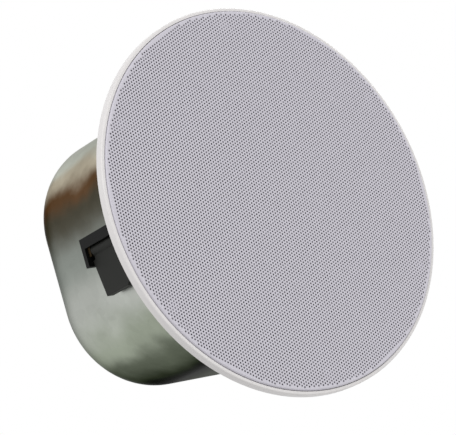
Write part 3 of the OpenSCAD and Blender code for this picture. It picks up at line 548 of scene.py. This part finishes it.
@dataclass
class Grille:
    """Pressed steel pan with staggered round holes and a rolled edge.

    Attributes:
        title: What the log calls it.
        radius: Outside of the rolled edge.
        edge_radius: Outer radius of the bend at the rim.
        sheet: Thickness of the steel.
        depth: From the front to the end of the rolled edge.
        lip: Corner broken off the cut end of the sheet.
        holes_to: No hole reaches past this radius.
        pitch: From one hole's middle to the next.
        hole_radius: Radius of one hole.
        row_deg: Direction of a row of holes, from +X.
        sides: Corners of one hole, one for each of its six neighbours.
        face_end: Where the flat face meets the bend.
        round_steps: Steps round the rim.
    """

    title: str = "grille"
    radius: float = 146.9 * MM
    edge_radius: float = 1.2 * MM
    sheet: float = 1.0 * MM
    depth: float = 5.2 * MM
    lip: float = 0.15 * MM
    holes_to: float = 145.5 * MM
    pitch: float = 2.5 * MM
    hole_radius: float = 0.75 * MM
    row_deg: float = 34.0
    sides: int = 6
    face_end: float = 145.65 * MM
    round_steps: int = 240

    def centres(self) -> dict[tuple[int, int], Vector]:
        """Places of the holes.

        Returns:
            Row and column of each hole, and its centre.
        """
        turn = math.radians(self.row_deg)
        along = self.pitch * Vector((math.cos(turn), math.sin(turn)))
        across = self.pitch * Vector((math.cos(turn + math.pi / 3), math.sin(turn + math.pi / 3)))
        # Rows at 60 degrees to each other lie cos 30 of a pitch apart, so more of them fit within the rim.
        reach = int(self.holes_to / self.pitch / math.cos(math.pi / 6)) + 1
        limit = self.holes_to - self.hole_radius
        rows = range(-reach, reach + 1)
        places = {(i, j): i * along + j * across for i in rows for j in rows}
        return {key: at for key, at in places.items() if at.length <= limit}

    def corners(self, centre: Vector) -> list[tuple[float, float]]:
        """Corners of one hole, whose area is that of the round one.

        Args:
            centre: The hole's centre.

        Returns:
            X and Y of each corner, anticlockwise.
        """
        step = 2 * math.pi / self.sides
        radius = self.hole_radius * math.sqrt(step / math.sin(step))
        turns = [math.radians(self.row_deg) + step / 2 + k * step for k in range(self.sides)]
        return [(centre.x + radius * math.cos(t), centre.y + radius * math.sin(t)) for t in turns]

    def face(self) -> tuple[bmesh.types.BMesh, bmesh.types.BMesh]:
        """Builds the perforated front and the walls of its holes.

        Each hole is joined to its neighbours by a four-sided face along each row and a triangle between
        three holes. What is left between the outermost holes and the rim is filled with triangles.

        Returns:
            The front's geometry and the walls'.
        """
        front, walls = bmesh.new(), bmesh.new()
        rings: dict[tuple[int, int], list] = {}
        for key, centre in self.centres().items():
            outline = self.corners(centre)
            ring = rings[key] = [front.verts.new((x, y, 0)) for x, y in outline]
            top = [walls.verts.new((x, y, 0)) for x, y in outline]
            low = [walls.verts.new((x, y, self.sheet)) for x, y in outline]
            for k in range(self.sides):
                front.edges.new((ring[k - 1], ring[k]))
                walls.faces.new((top[k - 1], top[k], low[k], low[k - 1]))
        hole_edges = set(front.edges)
        for (row, column), ring in rings.items():
            near = [(row + 1, column), (row, column + 1), (row - 1, column + 1)]
            for m, other in enumerate(near):
                if other in rings:
                    far = rings[other]
                    front.faces.new((ring[m], far[m + 2], far[(m + 3) % self.sides], ring[m - 1]))
            for m, (b, c) in enumerate((near[:2], near[1:])):
                if b in rings and c in rings:
                    front.faces.new((rings[c][m + 4], rings[b][m + 2], ring[m]))
        self.fill_rim(front, hole_edges)
        return front, walls

    def fill_rim(self, front: bmesh.types.BMesh, hole_edges: set) -> None:
        """Fills the face between the outermost holes and the bend.

        Args:
            front: The perforated front so far, which gets the new faces.
            hole_edges: The edges of the holes, which stay open on their inner side.
        """
        open_edges = [e for e in front.edges if len(e.link_faces) == (0 if e in hole_edges else 1)]
        turns = [2 * math.pi * k / self.round_steps for k in range(self.round_steps)]
        rim = [front.verts.new((self.face_end * math.cos(t), self.face_end * math.sin(t), 0)) for t in turns]
        open_edges += [front.edges.new((rim[k - 1], rim[k])) for k in range(self.round_steps)]
        bmesh.ops.triangle_fill(front, use_beauty=True, edges=open_edges, normal=(0, 0, -1))
        for face in front.faces:
            if face.normal.z > 0:
                face.normal_flip()

    def edge_profile(self) -> list[tuple[float, float]]:
        """Section of the rolled edge, from the front face round to the inner face.

        Returns:
            Radius and height of each point.
        """
        bend = [math.radians(a) for a in range(0, 91, 10)]
        middle, inside_r = self.radius - self.edge_radius, self.edge_radius - self.sheet
        outside = [
            (middle + self.edge_radius * math.sin(a), self.edge_radius * (1 - math.cos(a))) for a in bend
        ]
        inside = [
            (middle + inside_r * math.sin(a), self.edge_radius - inside_r * math.cos(a))
            for a in reversed(bend)
        ]
        inner, end = self.radius - self.sheet, self.depth - self.lip
        cut_end = [
            (self.radius, end), (self.radius - self.lip, self.depth),
            (inner + self.lip, self.depth), (inner, end),
        ]
        return [(self.face_end, 0.0), *outside, *cut_end, *inside, (self.face_end, self.sheet)]

    def build(self) -> list[str]:
        """Builds the perforated face, the walls of its holes and the rolled edge.

        Returns:
            The names of the pieces.
        """
        front, walls = self.face()
        pieces = [
            piece_from("grille_face", front, POWDER),
            piece_from("grille_holes", walls, POWDER, sharp_deg=80.0),
            piece_from("grille_edge", turned(self.edge_profile(), self.round_steps), POWDER),
        ]
        for obj in pieces:
            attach(obj, HOUSING)
        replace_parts(pieces[0], "grille")
        return [obj.name for obj in pieces]


@dataclass
class Clamps:
    """Four swing-out clamps: guide, arm, brass nut and threaded screw on each flat of the can.

    Attributes:
        title: What the log calls them.
        count: How many there are.
        circle: Distance of the screws' axes from the middle.
        crest: Outer radius of the thread.
        root: Core radius of the thread.
        lead: From one turn of the thread to the next.
        head_radius: Radius of the pan head.
        head_from: Height of the head's outer end.
        head_to: Height of the head's seat.
        head_swell: How far the pan head rounds in.
        head_dome: Height over which it does.
        socket: From the middle to a flat of the hexagon socket.
        socket_depth: Depth of the socket.
        tip: Height of the screw's tip.
        tip_taper: How much the core narrows at the tip.
        flank: Steepness of the thread's flanks, 1 for a V without flats.
        root_flat: How much of the V is filled flat at the core.
        weld: Corners nearer than this to each other become one.
        steps: Steps round the screw.
        rows_per_turn: Rings to one turn of the thread.
    """

    title: str = "clamps"
    count: int = 4
    circle: float = 106.0 * MM
    crest: float = 2.0 * MM
    root: float = 1.62 * MM
    lead: float = 2.0 * MM
    head_radius: float = 4.4 * MM
    head_from: float = 8.8 * MM
    head_to: float = 12.0 * MM
    head_swell: float = 1.2 * MM
    head_dome: float = 1.4 * MM
    socket: float = 1.3 * MM
    socket_depth: float = 1.8 * MM
    tip: float = 102.5 * MM
    tip_taper: float = 0.4 * MM
    flank: float = 1.6
    root_flat: float = 0.3
    weld: float = 0.0001 * MM
    steps: int = 24
    rows_per_turn: int = 6

    def head_rows(self) -> list[tuple[float, float, bool]]:
        """Section of the head, from the floor of its socket over the dome to the seat.

        Returns:
            Radius and height of each ring, and whether it is a hexagon.
        """
        floor = self.head_from + self.socket_depth
        rows = [(0.0, floor, False), (self.socket, floor, True), (self.socket, self.head_from, True)]
        for swell in (math.radians(a) for a in range(0, 91, 15)):
            radius = self.head_radius - self.head_swell * (1 - math.sin(swell))
            rows.append((radius, self.head_from + self.head_dome * (1 - math.cos(swell)), False))
        return [*rows, (self.head_radius, self.head_to, False), (self.root, self.head_to, False)]

    def screw(self, number: int) -> bpy.types.Object:
        """Builds one pan-head screw whose thread is a real helix.

        Args:
            number: Which clamp, from 1.

        Returns:
            The screw, on its axis.
        """
        mesh = bmesh.new()
        rings = [self.ring(mesh, radius, z, hexagon) for radius, z, hexagon in self.head_rows()]
        length = self.tip - self.head_to
        count = int(length / self.lead * self.rows_per_turn)
        rings += [self.thread_ring(mesh, self.head_to + length * i / count) for i in range(1, count + 1)]
        rings.append(self.ring(mesh, 0.0, self.tip, False))
        for low, high in zip(rings, rings[1:]):
            for k in range(self.steps):
                mesh.faces.new((low[k - 1], low[k], high[k], high[k - 1]))
        bmesh.ops.remove_doubles(mesh, verts=mesh.verts, dist=self.weld)
        bmesh.ops.recalc_face_normals(mesh, faces=mesh.faces)
        turn = Matrix.Rotation(2 * math.pi * (number - 1) / self.count, 4, "Z")
        bmesh.ops.transform(mesh, matrix=turn @ Matrix.Translation((self.circle, 0, 0)), verts=mesh.verts)
        return piece_from(f"clamp_screw_threaded_{number}", mesh, SCREW_ZINC, sharp_deg=50.0)

    def ring(self, mesh: bmesh.types.BMesh, radius: float, z: float, hexagon: bool) -> list:
        """Adds one ring of corners at a height.

        Args:
            mesh: The geometry that gets the corners.
            radius: Radius of the circle, or from the middle to a flat of the hexagon.
            z: Height.
            hexagon: Whether the ring is six-sided.

        Returns:
            The corners in order.
        """
        ring = []
        for k in range(self.steps):
            turn = 2 * math.pi * k / self.steps
            wide = radius / math.cos((turn % (math.pi / 3)) - math.pi / 6) if hexagon else radius
            ring.append(mesh.verts.new((wide * math.cos(turn), wide * math.sin(turn), z)))
        return ring

    def thread_ring(self, mesh: bmesh.types.BMesh, z: float) -> list:
        """Adds one ring through the thread, whose depth follows the helix and runs out at the tip.

        Args:
            mesh: The geometry that gets the corners.
            z: Height.

        Returns:
            The corners in order.
        """
        ring = []
        full = max(0.0, 1 - max(0.0, z - self.tip + self.lead) / self.lead)
        for k in range(self.steps):
            turn = 2 * math.pi * k / self.steps
            phase = (z / self.lead - k / self.steps) % 1.0
            share = min(1.0, max(0.0, self.flank * abs(2 * phase - 1) - self.root_flat)) * full
            wide = self.root + (self.crest - self.root) * share - self.tip_taper * (1 - full)
            ring.append(mesh.verts.new((wide * math.cos(turn), wide * math.sin(turn), z)))
        return ring

    def build(self) -> list[str]:
        """Builds the screws and dresses the other parts.

        Returns:
            The names of the pieces.
        """
        names: list[str] = []
        for k in range(1, self.count + 1):
            screw = self.screw(k)
            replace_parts(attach(screw, f"screw_{k}"), f"clamp_screw_{k}")
            names.append(screw.name)
            for part, finish in (("guide", GUIDE_NYLON), ("arm", ARM_NYLON), ("nut", BRASS)):
                name = f"clamp_{part}_{k}"
                dress(frame["nodes"][name], finish)
                names.append(name)
        return names


@dataclass(frozen=True)
class Softbox:
    """A square studio lamp.

    Attributes:
        name: What it is for.
        side: Along the camera's right.
        rise: Along the camera's up.
        back: From the object towards the camera.
        width: Width of the lamp.
        watts: Its power.
    """

    name: str
    side: float
    rise: float
    back: float
    width: float
    watts: float


@dataclass
class Studio:
    """The camera at the photograph's viewing angle, soft lamps, a pale floor and white surroundings.

    Attributes:
        title: What the log calls it.
        lens_mm: Focal length of the camera.
        sensor_mm: Width of its sensor.
        position: Where the camera stands.
        right: Direction across the picture.
        up: Direction up the picture.
        nearest: Nothing nearer than this is seen.
        farthest: Nothing farther than this is seen.
        middle: Point that the lamps aim at.
        ambient: Strength of the even light on the object.
        floor_height: Height of the floor, far below.
        floor_width: Width of the floor.
        lamps: The soft lamps.
    """

    title: str = "studio"
    lens_mm: float = 190.27
    sensor_mm: float = 36.0
    position: tuple[float, float, float] = (-1.1277, 0.3232, -1.3292)
    right: tuple[float, float, float] = (0.77704, 0.27699, -0.56524)
    up: tuple[float, float, float] = (0.10999, -0.94390, -0.31134)
    nearest: float = 0.01
    farthest: float = 50.0
    middle: tuple[float, float, float] = (0.0, 0.0, 0.06)
    ambient: float = 0.62
    floor_height: float = -3.2
    floor_width: float = 24.0
    lamps: tuple[Softbox, ...] = (
        Softbox("key_lamp", -0.9, 1.2, 1.3, 1.2, 16.0),
        Softbox("fill_lamp", 1.4, 0.3, 0.6, 1.0, 5.0),
        Softbox("rear_lamp", 0.5, 1.0, -1.6, 1.4, 14.0),
    )

    def axes(self) -> Matrix:
        """The camera's right, up and back as the columns of a matrix."""
        right, up = Vector(self.right).normalized(), Vector(self.up).normalized()
        return Matrix((right, up, right.cross(up))).transposed()

    def camera(self) -> None:
        """Sets up the camera where the photographer's stood."""
        data = bpy.data.cameras.new("photo_camera")
        data.lens, data.sensor_width, data.sensor_fit = self.lens_mm, self.sensor_mm, "HORIZONTAL"
        data.clip_start, data.clip_end = self.nearest, self.farthest
        camera = bpy.data.objects.new("photo_camera", data)
        camera.matrix_world = Matrix.Translation(self.position) @ self.axes().to_4x4()
        bpy.context.scene.collection.objects.link(camera)
        bpy.context.scene.camera = camera

    def lights(self) -> None:
        """Hangs the soft lamps round the object, each aimed at it."""
        axes, middle = self.axes(), Vector(self.middle)
        for box in self.lamps:
            data = bpy.data.lights.new(box.name, "AREA")
            data.shape, data.size, data.energy = "SQUARE", box.width, box.watts
            lamp = bpy.data.objects.new(box.name, data)
            away = axes @ Vector((box.side, box.rise, box.back))
            aim = away.to_track_quat("Z", "Y").to_matrix().to_4x4()
            lamp.matrix_world = Matrix.Translation(middle + away) @ aim
            bpy.context.scene.collection.objects.link(lamp)

    def white_when_seen(self, tree: Tree, lit: bpy.types.Node, output: str) -> None:
        """Ends a tree so that the eye, a mirror or glass sees plain white, and other light meets a shader.

        Args:
            tree: Node tree of the world or of a material.
            lit: Shader for the light that falls on things.
            output: Blender's name for the tree's output node.
        """
        rays = add_node(tree, "ShaderNodeLightPath").outputs
        mirrored = {0: rays["Is Glossy Ray"], 1: rays["Is Transmission Ray"]}
        mirrored_or_glazed = add_node(tree, "ShaderNodeMath", mirrored, operation="MAXIMUM")
        straight = {0: rays["Is Camera Ray"], 1: mirrored_or_glazed}
        seen = add_node(tree, "ShaderNodeMath", straight, operation="MAXIMUM")
        kind = "ShaderNodeBackground" if output == "ShaderNodeOutputWorld" else "ShaderNodeEmission"
        white = add_node(tree, kind, {"Color": linear("FFFFFF"), "Strength": 1.0})
        mix = add_node(tree, "ShaderNodeMixShader", {0: seen, 1: lit, 2: white})
        add_node(tree, output, {0: mix})

    def surroundings(self) -> None:
        """Makes the air white to the eye, and an even soft light on the object."""
        world = bpy.data.worlds.new("white_studio")
        world.use_nodes = True
        bpy.context.scene.world = world
        tree = world.node_tree
        tree.nodes.clear()
        soft = add_node(tree, "ShaderNodeBackground", {"Color": linear("FFFFFF"), "Strength": self.ambient})
        self.white_when_seen(tree, soft, "ShaderNodeOutputWorld")

    def floor(self) -> None:
        """Lays a pale floor well below, which the camera sees as white."""
        mesh = bmesh.new()
        bmesh.ops.create_grid(mesh, x_segments=8, y_segments=8, size=self.floor_width / 2)
        data = bpy.data.meshes.new("studio_floor")
        mesh.to_mesh(data)
        mesh.free()
        floor = bpy.data.objects.new("studio_floor", data)
        floor.location.z = self.floor_height
        bpy.context.scene.collection.objects.link(floor)
        paint = bpy.data.materials.new("matt_white_floor_paint")
        paint.use_nodes = True
        tree = paint.node_tree
        tree.nodes.clear()
        matt = add_node(tree, "ShaderNodeBsdfDiffuse", {"Color": linear("F2F2F0")})
        self.white_when_seen(tree, matt, "ShaderNodeOutputMaterial")
        data.materials.append(paint)

    def build(self) -> list[str]:
        """Sets up the studio.

        Returns:
            No names, because nothing here belongs to the object.
        """
        bpy.context.scene.view_settings.view_transform = "Standard"
        self.camera()
        self.lights()
        self.surroundings()
        self.floor()
        return []


def main() -> None:
    """Builds the studio and the sub-assemblies in order."""
    logging.basicConfig(level=logging.INFO, format="%(name)s: %(message)s")
    parts = (
        Studio(),
        Assembly("baffle and seals", ("baffle", "flange_gasket", "can_seal")),
        Grille(),
        Assembly("behind the grille", ("grille_scrim", "grille_magnets")),
        Assembly("back can", (
            "back_can", "can_screws", "damping_lining", "guide_screws", "rivets", "safety_lug",
        )),
        Clamps(),
        Assembly("woofer", (
            "basket", "front_gasket", "driver_screws", "cone", "surround", "spider", "voice_coil_former",
            "voice_coil_winding", "top_plate", "magnet", "yoke",
        )),
        Assembly("tweeter", (
            "tweeter_post", "tweeter_housing", "tweeter_cup", "tweeter_magnet", "tweeter_dome",
            "tweeter_faceplate",
        )),
        Assembly("electrics", (
            "crossover_board", "board_standoffs", "inductors", "capacitors", "resistor", "transformer_core",
            "transformer_winding", "transformer_bracket", "selector_switch", "selector_knob",
        )),
        Assembly("cable entry", (
            "terminal_cover", "terminal_block", "cable_clamp", "cover_screws", "cable_grommets",
        ), {"terminal_cover": COVER_ZINC}),
    )
    for part in parts:
        for name in part.build():
            log.info("%s: %s", part.title, name)


if __name__ == "__main__":
    main()
